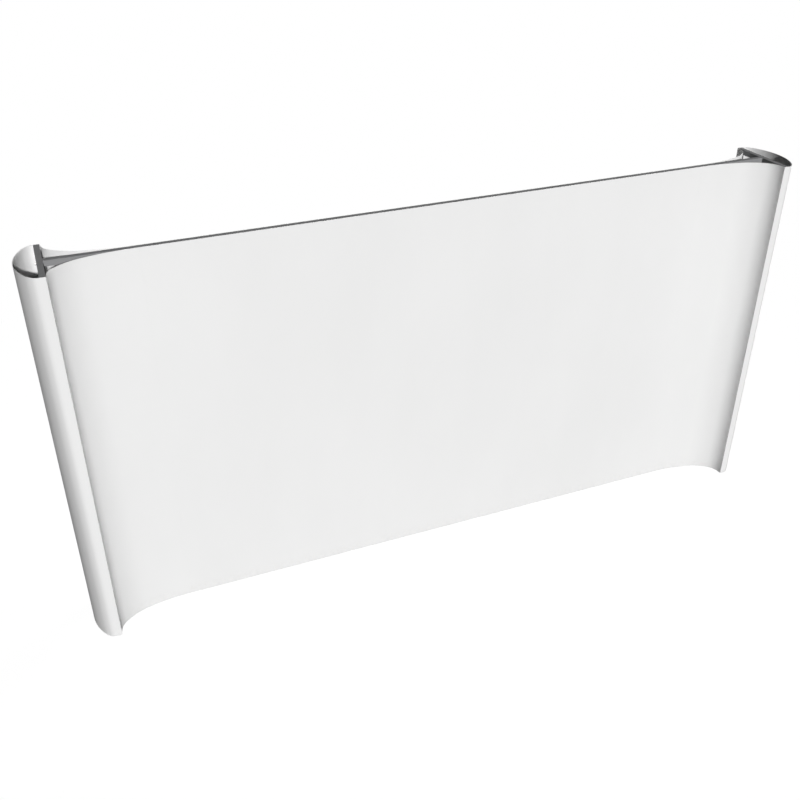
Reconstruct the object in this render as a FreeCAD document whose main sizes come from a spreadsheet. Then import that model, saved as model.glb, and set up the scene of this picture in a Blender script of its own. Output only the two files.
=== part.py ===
import FreeCAD, Part
import math
import os
import re
import Sketcher
from FreeCAD import Placement, Rotation, Vector

# Exhibition backwall: two ladder end frames of square tube, joined at head and foot by crossbars,
# and covered on both sides and both ends by thin bowed panels on magnetic strips.
# Millimetres. +X along the wall, -Y towards the viewer, +Z up, origin on the floor at the middle.

os.makedirs("parts", exist_ok=True)
doc = FreeCAD.newDocument("exhibition_backwall")
sizes = doc.addObject("Spreadsheet::Sheet", "Sizes")

# Driving sizes, each set once
driving = [
    # The wall as a whole
    ("WallHeight", 2250, "floor to the upper face of the top bars"),
    ("BarSpacing", 4255, "centre line to centre line of the two end frames"),
    ("BarLength", 425, "front to back length of an end frame's bars"),
    ("FrameLift", 18, "floor to the under face of the lower bars"),
    ("PanelLift", 4, "floor to the lower edge of the panels"),
    # Square tube
    ("TubeSide", 30, "outer side of the tube"),
    ("TubeWall", 2, "wall of the tube"),
    ("TubeCorner", 1.5, "radius of the tube's outer corners"),
    # Panels and the strips that hold them
    ("PanelThickness", 1, "laminated panel"),
    ("StripThickness", 1.2, "magnetic strip"),
    ("StripWidth", 20, "magnetic strip on the tubes"),
    ("SeamStripWidth", 40, "strip behind a seam between two panels"),
    ("SeamGap", 0.4, "gap between two panels at a seam"),
    ("SeamInset", 24, "seam to the start of the bend"),
    ("BendReach", 420, "start of a panel's bend to its end, along the wall"),
    ("BendTurn", 14, "degrees of the wide arc of a panel's bend"),
    ("MiddleTurn", 26, "degrees of the middle arc of a panel's bend"),
    ("MiddleShare", 0.33, "middle arc's radius as a share of the wide one's"),
    ("EndLand", 10, "straight edge of a panel against its post"),
    ("CapBulge", 106, "end panel's stand-out from its posts"),
    ("CrownTurn", 30, "degrees of each half of the end panel's crown"),
    ("ShoulderTurn", 20, "degrees of the end panel's shoulders"),
    ("ShoulderShare", 0.4, "shoulder's radius as a share of the crown's"),
    # Spigots and snap buttons
    ("SpigotLength", 60, "spigot inside the end of a tube"),
    ("SpigotGap", 0.2, "gap on each side between spigot and tube"),
    ("ButtonPlace", 30, "end of a crossbar to its button"),
    ("ButtonRadius", 4, "nose of the button"),
    ("ButtonCollar", 5, "radius of the button's collar"),
    ("CollarHeight", 5, "height of the button's collar"),
    ("ButtonStand", 2, "stand-out of the nose from the tube"),
    ("BoreDepth", 16, "depth of the button's bore in the spigot"),
    ("SpringRadius", 4.4, "outside of the button's spring"),
    ("SpringWire", 1, "radial size of the spring"),
    ("RunningGap", 0.05, "radial gap of all moving fits"),
    # Fasteners and plugs
    ("BoltRadius", 4, "shank of the spigot bolt"),
    ("BoltReach", 20, "bolt's length inside the spigot"),
    ("BoltHeadRadius", 7.5, "corner radius of the bolt's hexagon head"),
    ("BoltHeadHeight", 5.3, "height of the bolt's head"),
    ("PlugDepth", 8, "plug in the open end of a bar"),
    # Levelling feet
    ("FootInset", 22, "end of a bar to its foot"),
    ("InsertRadius", 6, "body of the threaded insert"),
    ("InsertFlange", 9, "radius of the insert's flange"),
    ("FlangeHeight", 1.5, "height of the insert's flange"),
    ("InsertHeight", 16, "body of the insert above the flange"),
    ("ScrewRadius", 4, "stem of the levelling screw"),
    ("HexRadius", 7.5, "corner radius of the screw's hexagon"),
    ("HexHeight", 7, "height of the screw's hexagon"),
    ("ScrewTopGap", 2, "top of the screw to the upper wall of the bar"),
    ("PadRadius", 13, "rim of the foot pad"),
    ("PadRimHeight", 3, "height of the pad's rim"),
    ("PadNeckRadius", 9, "top of the foot pad"),
    ("SocketDepth", 4, "screw's seat in the pad"),
    # One overrun serves every cut
    ("Overrun", 5, "length by which a cutter passes the face that it starts at"),
]

# Sizes that follow from the driving ones
derived = [
    ("HalfTube", "TubeSide / 2"),
    ("HalfBore", "HalfTube - TubeWall"),
    ("HalfSpigot", "HalfBore - SpigotGap"),
    ("HalfSpacing", "BarSpacing / 2"),
    ("HalfBar", "BarLength / 2"),
    ("InnerFace", "HalfSpacing - HalfTube"),
    ("OuterFace", "HalfSpacing + HalfTube"),
    ("TopAxis", "WallHeight - HalfTube"),
    ("LowAxis", "FrameLift + HalfTube"),
    ("PostFoot", "FrameLift + TubeSide"),
    ("PostHead", "WallHeight - TubeSide"),
    ("PostLength", "PostHead - PostFoot"),
    ("PostMiddle", "(PostHead + PostFoot) / 2"),
    ("PostPlace", "HalfBar - HalfTube"),
    ("CrossbarLength", "InnerFace - HalfTube"),
    ("CrossbarMiddle", "HalfTube + CrossbarLength / 2"),
    ("PanelHeight", "WallHeight - PanelLift"),
    ("PanelBack", "HalfTube + StripThickness"),
    ("PanelFace", "PanelBack + PanelThickness"),
    ("BendEnd", "InnerFace - StripThickness - PanelThickness"),
    ("BendStart", "BendEnd - BendReach"),
    ("BendDepth", "HalfBar - EndLand - PanelFace"),
    ("TightStart", "BendTurn + MiddleTurn"),
    ("WideRunShare", "sin(BendTurn) + MiddleShare * (sin(TightStart) - sin(BendTurn))"),
    ("WideRiseShare", "1 - cos(BendTurn) + MiddleShare * (cos(BendTurn) - cos(TightStart))"),
    ("TightRunShare", "1 - sin(TightStart)"),
    ("TightRiseShare", "cos(TightStart)"),
    ("BendShare", "WideRunShare * TightRiseShare - WideRiseShare * TightRunShare"),
    ("WideRadius", "(BendReach * TightRiseShare - BendDepth * TightRunShare) / BendShare"),
    ("MiddleRadius", "WideRadius * MiddleShare"),
    ("TightRadius", "(BendDepth * WideRunShare - BendReach * WideRiseShare) / BendShare"),
    ("MiddlePlaceX", "BendStart + (WideRadius - MiddleRadius) * sin(BendTurn)"),
    ("MiddlePlaceY", "PanelFace + WideRadius - (WideRadius - MiddleRadius) * cos(BendTurn)"),
    ("TightPlaceX", "MiddlePlaceX + (MiddleRadius - TightRadius) * sin(TightStart)"),
    ("SeamPlace", "BendStart - SeamInset"),
    ("CapFace", "HalfBar + StripThickness + PanelThickness"),
    ("CornerStart", "CrownTurn + ShoulderTurn"),
    ("CrownRunShare", "sin(CrownTurn) + ShoulderShare * (sin(CornerStart) - sin(CrownTurn))"),
    ("CrownRiseShare", "1 - cos(CrownTurn) + ShoulderShare * (cos(CrownTurn) - cos(CornerStart))"),
    ("CornerRunShare", "1 - sin(CornerStart)"),
    ("CornerRiseShare", "cos(CornerStart)"),
    ("CapShare", "CrownRunShare * CornerRiseShare - CrownRiseShare * CornerRunShare"),
    ("CrownRadius", "(CapFace * CornerRiseShare - CapBulge * CornerRunShare) / CapShare"),
    ("ShoulderRadius", "CrownRadius * ShoulderShare"),
    ("CornerRadius", "(CapBulge * CrownRunShare - CapFace * CrownRiseShare) / CapShare"),
    ("CrownCentre", "OuterFace + CapBulge - CrownRadius"),
    ("ShoulderPlaceX", "CrownCentre + (CrownRadius - ShoulderRadius) * cos(CrownTurn)"),
    ("ShoulderPlaceY", "(CrownRadius - ShoulderRadius) * sin(CrownTurn)"),
    ("CornerPlace", "CapFace - CornerRadius"),
    ("NoseLength", "ButtonStand + TubeWall"),
    ("ButtonLength", "NoseLength + CollarHeight"),
    ("ButtonHole", "ButtonRadius + RunningGap"),
    ("CollarBore", "ButtonCollar + RunningGap"),
    ("SpringLength", "SpigotGap + BoreDepth - CollarHeight"),
    ("ButtonOuter", "InnerFace - ButtonPlace"),
    ("ButtonInner", "HalfTube + ButtonPlace"),
    ("HoleShift", "CrossbarLength / 2 - ButtonPlace"),
    ("ScrewBore", "ScrewRadius + RunningGap"),
    ("InsertTotal", "FlangeHeight + InsertHeight"),
    ("PadHeight", "FrameLift - FlangeHeight - HexHeight"),
    ("ScrewFoot", "PadHeight - SocketDepth"),
    ("ScrewHead", "PostFoot - TubeWall - ScrewTopGap"),
    ("ScrewLength", "ScrewHead - ScrewFoot"),
    ("FootPlace", "HalfBar - FootInset"),
]

row = 0
for alias, size, meaning in driving:
    row += 1
    sizes.set(f"A{row}", alias)
    sizes.set(f"B{row}", str(size))
    sizes.set(f"C{row}", meaning)
    sizes.setAlias(f"B{row}", alias)
for alias, formula in derived:
    row += 1
    sizes.set(f"A{row}", alias)
    sizes.set(f"B{row}", "=" + formula)
    sizes.setAlias(f"B{row}", alias)
doc.recompute()

aliases = {entry[0] for entry in driving + derived}
nodes = []

# Share by which two lengths may differ and still count as the same
CLOSE_SHARE = 0.001


# Reads a size from the sheet; a leading minus turns its sign
def value(word):
    if word == "0":
        return 0.0
    if word.startswith("-"):
        return -value(word[1:])
    return float(sizes.get(word))


# Ties a property to an expression in the sheet's own names
def bind(item, prop, text):
    named = re.sub(r"[A-Z]\w+", lambda m: "Sizes." + m[0] if m[0] in aliases else m[0], text)
    item.setExpression(prop, named)


# Ties the base point of an object to three expressions
def place(item, x, y, z, turn=None):
    if turn is not None:
        item.Placement = Placement(Vector(), turn)
    for axis, text in zip("xyz", (x, y, z)):
        bind(item, "Placement.Base." + axis, text)


# Keeps a finished piece under the name of its node
def keep(item, name):
    item.Label = name
    nodes.append(item)
    return item


# A box given by its centre and its three sizes
def block(name, centre, extent):
    item = doc.addObject("Part::Box", name)
    for prop, text in zip(("Length", "Width", "Height"), extent):
        bind(item, prop, text)
    place(item, *(f"{middle} - ({length}) / 2" for middle, length in zip(centre, extent)))
    return item


# An upright cylinder on its base point
def rod(name, base, radius, height):
    item = doc.addObject("Part::Cylinder", name)
    bind(item, "Radius", radius)
    bind(item, "Height", height)
    place(item, *base)
    return item


# A cylinder along the wall from its base point towards +X
def lying_rod(name, base, radius, height):
    item = rod(name, base, radius, height)
    place(item, *base, turn=Rotation(Vector(0, 1, 0), 90))
    return item


# One solid from several, or several solids in one node
def join(name, items, kind="Part::MultiFuse"):
    item = doc.addObject(kind, name)
    if kind == "Part::Compound":
        item.Links = items
    else:
        item.Shapes = items
        item.Refine = True
    return item


# A base less its cutters
def cut(name, base, cutters):
    for count, cutter in enumerate(cutters):
        item = doc.addObject("Part::Cut", f"{name}_{count}")
        item.Base = base
        item.Tool = cutter
        base = item
    return base


# The mirror image of an object across a plane through the origin
def mirror(name, source, normal):
    item = doc.addObject("Part::Mirroring", name)
    item.Source = source
    item.Normal = normal
    return item


# A sketch on one of the body's own origin planes
def new_sketch(body, plane, name):
    sketch = body.newObject("Sketcher::SketchObject", name)
    support = [item for item in body.Origin.OriginFeatures if item.Role == plane][0]
    sketch.AttachmentSupport = [(support, "")]
    sketch.MapMode = "FlatFace"
    return sketch


# Holds one coordinate of a point at a size, or on the sketch's own axis
def hold(sketch, kind, axis, geometry, point, word):
    if word == "0":
        sketch.addConstraint(Sketcher.Constraint("PointOnObject", geometry, point, axis))
        return
    ends = [-1, 1, geometry, point]
    if word.startswith("-"):
        ends = [geometry, point, -1, 1]
        word = word[1:]
    number = sketch.addConstraint(Sketcher.Constraint(kind, *ends, value(word)))
    bind(sketch, f"Constraints[{number}]", word)


# A closed outline of straight lines whose corners are pairs of size names
def outline(sketch, corners):
    first = sketch.GeometryCount
    points = [Vector(value(x), value(y), 0) for x, y in corners]
    count = len(points)
    for here in range(count):
        sketch.addGeometry(Part.LineSegment(points[here], points[(here + 1) % count]), False)
    for here in range(count):
        following = first + (here + 1) % count
        sketch.addConstraint(Sketcher.Constraint("Coincident", first + here, 2, following, 1))
    for here, (x, y) in enumerate(corners):
        hold(sketch, "DistanceX", -2, first + here, 1, x)
        hold(sketch, "DistanceY", -1, first + here, 1, y)


# A square about the sketch's origin
def square(sketch, half):
    outline(sketch, [("-" + half, "-" + half), (half, "-" + half), (half, half), ("-" + half, half)])


# A full circle with its centre and radius held
def circle(sketch, x, y, radius):
    centre = Vector(value(x), value(y), 0)
    number = sketch.addGeometry(Part.Circle(centre, Vector(0, 0, 1), value(radius)), False)
    hold(sketch, "DistanceX", -2, number, 3, x)
    hold(sketch, "DistanceY", -1, number, 3, y)
    limit = sketch.addConstraint(Sketcher.Constraint("Radius", number, value(radius)))
    bind(sketch, f"Constraints[{limit}]", radius)


# A square bar centred on the body's origin, with its length across the plane and rounded long edges
def square_bar(name, plane, length, halves):
    body = doc.addObject("PartDesign::Body", name)
    sketch = new_sketch(body, plane, name + "_section")
    for half in halves:
        square(sketch, half)
    pad = body.newObject("PartDesign::Pad", name + "_pad")
    pad.Profile = sketch
    pad.SideType = "Symmetric"
    bind(pad, "Length", length)
    doc.recompute()
    corner = value(halves[0]) * math.sqrt(2)
    along = sketch.Placement.Rotation.multVec(Vector(0, 0, 1))
    long_edges = []
    for number, edge in enumerate(pad.Shape.Edges, start=1):
        middle = edge.CenterOfMass
        reach = (middle - along * middle.dot(along)).Length
        if math.isclose(reach, corner, rel_tol=CLOSE_SHARE):
            long_edges.append(f"Edge{number}")
    rounding = body.newObject("PartDesign::Fillet", name + "_corners")
    rounding.Base = (pad, long_edges)
    bind(rounding, "Radius", "TubeCorner")
    doc.recompute()
    return body


# A square tube, open at both ends
def tube(name, plane, length):
    return square_bar(name, plane, length, ["HalfTube", "HalfBore"])


# Round holes through one wall of a tube, on the side that the body's plane looks away from
def wall_holes(body, plane, places, radius, reverse=False):
    sketch = new_sketch(body, plane, f"{body.Name}_holes_{plane}_{int(reverse)}")
    for x, y in places:
        circle(sketch, x, y, radius)
    pocket = body.newObject("PartDesign::Pocket", sketch.Name + "_pocket")
    pocket.Profile = sketch
    pocket.Reversed = reverse
    bind(pocket, "Length", "TubeSide")
    doc.recompute()


# A turned piece: the outline, as radius and height, spun about the upright axis
def turned(name, corners):
    body = doc.addObject("PartDesign::Body", name)
    sketch = new_sketch(body, "XZ_Plane", name + "_profile")
    outline(sketch, corners)
    spin = body.newObject("PartDesign::Revolution", name + "_spin")
    spin.Profile = sketch
    spin.ReferenceAxis = (sketch, ["V_Axis"])
    doc.recompute()
    return body


# Sides and heights that the loops below go through, with the sign of each
sides = [("left", "-"), ("right", "")]
faces = [("front", "-"), ("rear", "")]
levels = [("top", "TopAxis", ""), ("bottom", "LowAxis", "-")]

# End bars: front to back tubes at the head and foot of each end frame
for side, x_sign in sides:
    for level, height, _ in levels:
        bar = tube(f"{side}_{level}_bar", "XZ_Plane", "BarLength")
        place(bar, x_sign + "HalfSpacing", "0", height)
        wall_holes(bar, "YZ_Plane", [("0", "0")], "BoltRadius")
        wall_holes(bar, "YZ_Plane", [("0", "0")], "BoltRadius", reverse=True)
        if level == "bottom":
            wall_holes(bar, "XY_Plane", [("0", "-FootPlace"), ("0", "FootPlace")], "InsertRadius")
        keep(bar, f"{side}_{level}_bar")

# Posts: uprights welded between the bars of an end frame, one at the front and one at the rear
for side, x_sign in sides:
    for face, y_sign in faces:
        post = tube(f"{side}_{face}_post", "XY_Plane", "PostLength")
        place(post, x_sign + "HalfSpacing", y_sign + "PostPlace", "PostMiddle")
        keep(post, f"{side}_{face}_post")

# Crossbars: two lengths at the head and two at the foot, each with a button hole near either end
for level, height, z_sign in levels:
    for side, x_sign in sides:
        bar = tube(f"{level}_{side}_crossbar", "YZ_Plane", "CrossbarLength")
        place(bar, x_sign + "CrossbarMiddle", "0", height)
        holes = [("-HoleShift", "0"), ("HoleShift", "0")]
        wall_holes(bar, "XY_Plane", holes, "ButtonHole", reverse=z_sign == "-")
        keep(bar, f"{level}_{side}_crossbar")

# Mast: the upright between the two centre connectors
mast = tube("mast", "XY_Plane", "PostLength")
place(mast, "0", "0", "PostMiddle")
keep(mast, "mast")


# Bore for a snap button, from the spigot's face inwards, and the base of what stands in it
def bore_base(height, z_sign):
    if z_sign == "-":
        return f"{height} + HalfSpigot - BoreDepth"
    return f"{height} - HalfSpigot - Overrun"


# Cutter for that bore at a place along the wall
def button_bore(name, x, height, z_sign):
    return rod(name, (x, "0", bore_base(height, z_sign)), "CollarBore", "BoreDepth + Overrun")


# End spigots: solid blocks bolted to the inner face of each end bar, inside the crossbar's end
for level, height, z_sign in levels:
    for side, x_sign in sides:
        name = f"{level}_{side}_spigot"
        middle = f"{x_sign}(InnerFace - SpigotLength / 2)"
        extent = ("SpigotLength", "2 * HalfSpigot", "2 * HalfSpigot")
        body = block(name + "_block", (middle, "0", height), extent)
        bore = button_bore(name + "_bore", x_sign + "ButtonOuter", height, z_sign)
        start = "-(InnerFace + Overrun)" if side == "left" else "InnerFace - BoltReach"
        thread = lying_rod(name + "_thread", (start, "0", height), "BoltRadius", "BoltReach + Overrun")
        keep(cut(name, body, [bore, thread]), name)

# Spigot bolts: one hexagon bolt through each end bar into its spigot, head on the outer face
bolts = []
for level, height, _ in levels:
    for side, x_sign in sides:
        name = f"{level}_{side}_bolt"
        shank_start = "-OuterFace" if side == "left" else "InnerFace - BoltReach"
        shank = lying_rod(name + "_shank", (shank_start, "0", height), "BoltRadius", "TubeSide + BoltReach")
        head = doc.addObject("Part::Prism", name + "_head")
        bind(head, "Circumradius", "BoltHeadRadius")
        bind(head, "Height", "BoltHeadHeight")
        head_start = "-(OuterFace + BoltHeadHeight)" if side == "left" else "OuterFace"
        place(head, head_start, "0", height, turn=Rotation(Vector(0, 1, 0), 90))
        bolts.append(join(name, [shank, head]))
keep(join("spigot_bolts", bolts, "Part::Compound"), "spigot_bolts")

# Centre connectors: a cube between the two crossbars, an arm into each and a stub into the mast
for level, height, z_sign in levels:
    name = f"{level}_connector"
    core = square_bar(name + "_core", "YZ_Plane", "TubeSide", ["HalfTube"])
    place(core, "0", "0", height)
    arms_length = "TubeSide + 2 * SpigotLength"
    arms = block(name + "_arms", ("0", "0", height), (arms_length, "2 * HalfSpigot", "2 * HalfSpigot"))
    towards = "+" if z_sign == "-" else "-"
    stub_middle = f"{height} {towards} (HalfTube + SpigotLength / 2)"
    stub_extent = ("2 * HalfSpigot", "2 * HalfSpigot", "SpigotLength")
    stub = block(name + "_stub", ("0", "0", stub_middle), stub_extent)
    cutters = [button_bore(f"{name}_{side}_bore", x + "ButtonInner", height, z_sign) for side, x in sides]
    if level == "bottom":
        foot_base = ("0", "0", "FrameLift - Overrun")
        cutters.append(rod(name + "_insert_bore", foot_base, "InsertRadius", "InsertHeight + Overrun"))
        screw_depth = "ScrewHead + ScrewTopGap - FrameLift + Overrun"
        cutters.append(rod(name + "_screw_bore", foot_base, "ScrewBore", screw_depth))
    solid = join(name + "_solid", [core, arms, stub])
    keep(cut(name, solid, cutters), name)

# Snap buttons: stepped pins whose nose stands through the wall of the crossbar
# Springs: each sits between the button's collar and the end of the bore
for level, height, z_sign in levels:
    for side, x_sign in sides:
        for end, along in (("outer", "ButtonOuter"), ("inner", "ButtonInner")):
            name = f"{level}_{side}_{end}_button"
            button = turned(name, [
                ("0", "0"),
                ("ButtonRadius", "0"),
                ("ButtonRadius", "NoseLength"),
                ("ButtonCollar", "NoseLength"),
                ("ButtonCollar", "ButtonLength"),
                ("0", "ButtonLength"),
            ])
            if z_sign == "-":
                nose = f"{height} + HalfTube + ButtonStand"
                flip = Rotation(Vector(1, 0, 0), 180)
                spring_base = f"{height} + HalfSpigot - BoreDepth"
            else:
                nose = f"{height} - HalfTube - ButtonStand"
                flip = Rotation()
                spring_base = f"{height} - HalfBore + CollarHeight"
            place(button, x_sign + along, "0", nose, turn=flip)
            keep(button, name)
            base = (x_sign + along, "0", spring_base)
            coil = rod(name + "_spring_outside", base, "SpringRadius", "SpringLength")
            hollow = rod(name + "_spring_inside", base, "SpringRadius - SpringWire", "SpringLength")
            keep(cut(name + "_spring", coil, [hollow]), name + "_spring")

# Levelling feet under the ends of the lower bars and under the middle
feet = [(f"{face}_{side}", x + "HalfSpacing", y + "FootPlace") for side, x in sides for face, y in faces]
feet.append(("centre", "0", "0"))

# Threaded inserts: a flange under the bar and a body inside it
inserts = []
for foot, x, y in feet:
    insert = turned(foot + "_insert", [
        ("ScrewBore", "0"),
        ("InsertFlange", "0"),
        ("InsertFlange", "FlangeHeight"),
        ("InsertRadius", "FlangeHeight"),
        ("InsertRadius", "InsertTotal"),
        ("ScrewBore", "InsertTotal"),
    ])
    place(insert, x, y, "FrameLift - FlangeHeight")
    inserts.append(insert)
keep(join("foot_inserts", inserts, "Part::Compound"), "foot_inserts")

# Levelling screws: a round stem with a hexagon that stops under the insert
for foot, x, y in feet:
    name = foot + "_foot_screw"
    stem = rod(name + "_stem", (x, y, "ScrewFoot"), "ScrewRadius", "ScrewLength")
    hexagon = doc.addObject("Part::Prism", name + "_hexagon")
    bind(hexagon, "Circumradius", "HexRadius")
    bind(hexagon, "Height", "HexHeight")
    place(hexagon, x, y, "PadHeight")
    keep(join(name, [stem, hexagon]), name)

# Foot pads: a wide rim on the floor, tapering to a neck with a socket for the screw
for foot, x, y in feet:
    name = foot + "_foot_pad"
    pad = turned(name, [
        ("0", "0"),
        ("PadRadius", "0"),
        ("PadRadius", "PadRimHeight"),
        ("PadNeckRadius", "PadHeight"),
        ("ScrewBore", "PadHeight"),
        ("ScrewBore", "ScrewFoot"),
        ("0", "ScrewFoot"),
    ])
    place(pad, x, y, "0")
    keep(pad, name)

# Plugs in the open front and rear ends of the end bars
plugs = []
for side, x_sign in sides:
    for level, height, _ in levels:
        for face, y_sign in faces:
            centre = (x_sign + "HalfSpacing", f"{y_sign}(HalfBar - PlugDepth / 2)", height)
            extent = ("2 * HalfBore", "PlugDepth", "2 * HalfBore")
            plugs.append(block(f"{side}_{level}_{face}_plug", centre, extent))
keep(join("bar_end_plugs", plugs, "Part::Compound"), "bar_end_plugs")

# Magnetic strips on the front and rear faces of the crossbars
strips = []
for level, height, _ in levels:
    for face, y_sign in faces:
        centre = ("0", f"{y_sign}(HalfTube + StripThickness / 2)", height)
        extent = ("2 * BendStart", "StripThickness", "StripWidth")
        strips.append(block(f"{level}_{face}_strip", centre, extent))
keep(join("crossbar_strips", strips, "Part::Compound"), "crossbar_strips")

# Magnetic strips on the posts: one inwards for the long panels, one outwards for the end panels
strips = []
for side, x_sign in sides:
    for face, y_sign in faces:
        centre = (f"{x_sign}(InnerFace - StripThickness / 2)", y_sign + "PostPlace", "PostMiddle")
        extent = ("StripThickness", "StripWidth", "PostLength")
        strips.append(block(f"{side}_{face}_inner_strip", centre, extent))
        centre = (x_sign + "HalfSpacing", f"{y_sign}(HalfBar + StripThickness / 2)", "PostMiddle")
        extent = ("StripWidth", "StripThickness", "PostLength")
        strips.append(block(f"{side}_{face}_outer_strip", centre, extent))
keep(join("post_strips", strips, "Part::Compound"), "post_strips")

# Seam strips: upright strips behind the seams, between the crossbars
strips = []
for side, x_sign in sides:
    for face, y_sign in faces:
        centre = (x_sign + "SeamPlace", f"{y_sign}(HalfTube + StripThickness / 2)", "PostMiddle")
        extent = ("SeamStripWidth", "StripThickness", "PostLength")
        strips.append(block(f"{side}_{face}_seam", centre, extent))
keep(join("seam_strips", strips, "Part::Compound"), "seam_strips")


# A bent stretch of panel: a sector of a ring about an upright axis, from one angle through a turn
def sector(name, centre, inner, start, turn):
    ring = []
    for radius, part in ((f"{inner} + PanelThickness", "outside"), (inner, "inside")):
        item = rod(f"{name}_{part}", (*centre, "PanelLift"), radius, "PanelHeight")
        bind(item, "Angle", turn)
        item.Placement = Placement(item.Placement.Base, Rotation(Vector(0, 0, 1), 0))
        bind(item, "Placement.Rotation.Angle", start)
        ring.append(item)
    return cut(name, ring[0], [ring[1]])


# A straight stretch of panel of full height
def flat(name, x, y, length, width):
    middle = "PanelLift + PanelHeight / 2"
    return block(name, (x, y, middle), (length, width, "PanelHeight"))


# Flat middle panels of the two long sides
for face, y_sign in faces:
    name = f"{face}_middle_panel"
    panel_y = f"{y_sign}(PanelBack + PanelThickness / 2)"
    keep(flat(name, "0", panel_y, "2 * SeamPlace - SeamGap", "PanelThickness"), name)

# Bowed panels: from the seam, round three arcs that each turn tighter, to the inner face of a post
bend = [
    flat("bend_start", "-(BendStart + SeamPlace + SeamGap / 2) / 2", "-(PanelBack + PanelThickness / 2)",
         "SeamInset - SeamGap / 2", "PanelThickness"),
    sector("bend_wide", ("-BendStart", "-(PanelFace + WideRadius)"), "WideRadius", "90", "BendTurn"),
    sector("bend_middle", ("-MiddlePlaceX", "-MiddlePlaceY"), "MiddleRadius", "90 + BendTurn", "MiddleTurn"),
    sector("bend_tight", ("-TightPlaceX", "-(HalfBar - EndLand)"), "TightRadius", "90 + TightStart",
           "90 - TightStart"),
    flat("bend_land", "-(BendEnd + PanelThickness / 2)", "-(HalfBar - EndLand / 2)",
         "PanelThickness", "EndLand"),
]
front_left = join("front_left_bowed_panel", bend)
keep(front_left, "front_left_bowed_panel")
front_right = keep(mirror("front_right_bowed_panel", front_left, Vector(1, 0, 0)), "front_right_bowed_panel")
keep(mirror("rear_left_bowed_panel", front_left, Vector(0, 1, 0)), "rear_left_bowed_panel")
keep(mirror("rear_right_bowed_panel", front_right, Vector(0, 1, 0)), "rear_right_bowed_panel")

# End panels: flat on the outer faces of both posts, bowed round the end between them
cap = [sector("cap_crown", ("-CrownCentre", "0"), "CrownRadius - PanelThickness",
              "180 - CrownTurn", "2 * CrownTurn")]
turns = [("front", "-", "180 + CrownTurn", "180 + CornerStart"), ("rear", "", "180 - CornerStart", "90")]
for face, y_sign, shoulder_start, corner_start in turns:
    cap.append(sector(f"cap_{face}_shoulder", ("-ShoulderPlaceX", y_sign + "ShoulderPlaceY"),
                      "ShoulderRadius - PanelThickness", shoulder_start, "ShoulderTurn"))
    cap.append(sector(f"cap_{face}_corner", ("-OuterFace", y_sign + "CornerPlace"),
                      "CornerRadius - PanelThickness", corner_start, "90 - CornerStart"))
    cap.append(flat(f"cap_{face}_flange", "-HalfSpacing", f"{y_sign}(CapFace - PanelThickness / 2)",
                    "TubeSide", "PanelThickness"))
left_cap = keep(join("left_end_panel", cap), "left_end_panel")
keep(mirror("right_end_panel", left_cap, Vector(1, 0, 0)), "right_end_panel")

# Every object has to be sound before anything is written
doc.recompute()
for item in doc.Objects:
    if "Invalid" in item.State or "Error" in item.State:
        raise RuntimeError(f"{item.Label}: {item.State}")
for item in nodes:
    if item.Shape.isNull() or not item.Shape.isValid():
        raise RuntimeError(f"{item.Label}: shape is not sound")

# One file for each node
total = None
for item in nodes:
    item.Shape.exportStep(f"parts/{item.Label}.step")
    box = item.Shape.BoundBox
    total = box if total is None else total.united(box)
    print(f"{item.Label}: {len(item.Shape.Solids)} solid, {item.Shape.Volume:.1f} mm3")
print(f"{len(nodes)} nodes, {total}")
for radius in ("WideRadius", "MiddleRadius", "TightRadius", "CrownRadius", "ShoulderRadius", "CornerRadius"):
    print(f"{radius} {value(radius):.1f}")
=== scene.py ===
import bmesh
import bpy
import math
from mathutils import Matrix, Vector


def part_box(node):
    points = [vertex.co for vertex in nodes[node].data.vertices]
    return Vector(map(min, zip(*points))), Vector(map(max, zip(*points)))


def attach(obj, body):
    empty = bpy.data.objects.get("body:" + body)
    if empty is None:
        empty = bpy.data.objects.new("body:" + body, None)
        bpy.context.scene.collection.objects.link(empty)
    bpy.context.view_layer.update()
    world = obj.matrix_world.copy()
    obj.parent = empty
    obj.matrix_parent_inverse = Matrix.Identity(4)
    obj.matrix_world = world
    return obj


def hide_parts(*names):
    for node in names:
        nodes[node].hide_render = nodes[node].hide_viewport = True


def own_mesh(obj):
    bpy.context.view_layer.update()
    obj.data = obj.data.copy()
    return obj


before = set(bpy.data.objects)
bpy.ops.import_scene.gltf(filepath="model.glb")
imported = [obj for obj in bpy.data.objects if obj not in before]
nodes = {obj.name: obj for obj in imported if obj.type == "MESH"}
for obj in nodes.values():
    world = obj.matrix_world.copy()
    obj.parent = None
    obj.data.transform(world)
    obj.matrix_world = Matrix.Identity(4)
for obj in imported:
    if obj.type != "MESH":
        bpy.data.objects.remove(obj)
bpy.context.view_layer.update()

# End frames: two welded ladders of square aluminium tube, each with a bar at the head, a bar at
# the foot and a post at either end of them. After welding they are powder coated matt grey: the
# coat is even, has a fine orange peel, and is a little paler where hands and van floors rub it.
COAT_GREY = (0.255, 0.257, 0.262)
COAT_PALE = (0.275, 0.277, 0.282)
COAT_RUBBED = (0.33, 0.33, 0.334)
COAT_ROUGHNESS = 0.55
COAT_GLOSS = (0.48, 0.62)
COAT_SHEEN = 0.05
COAT_CLOUDS = 7
COAT_RUBS = 38
COAT_RUB_STRETCH = (1, 1, 0.3)
COAT_RUB_RANGE = (0.64, 0.74)
COAT_RUB_SHARE = (0, 0.6)
COAT_PEEL = 620
COAT_PEEL_HEIGHT = 0.00004
CLOUD_RANGE = (0.35, 0.65)
GLOSS_RANGE = (0.3, 0.7)

sides = {"left": -1, "right": 1}
faces = {"front": -1, "rear": 1}
levels = ("top", "bottom")


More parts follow.
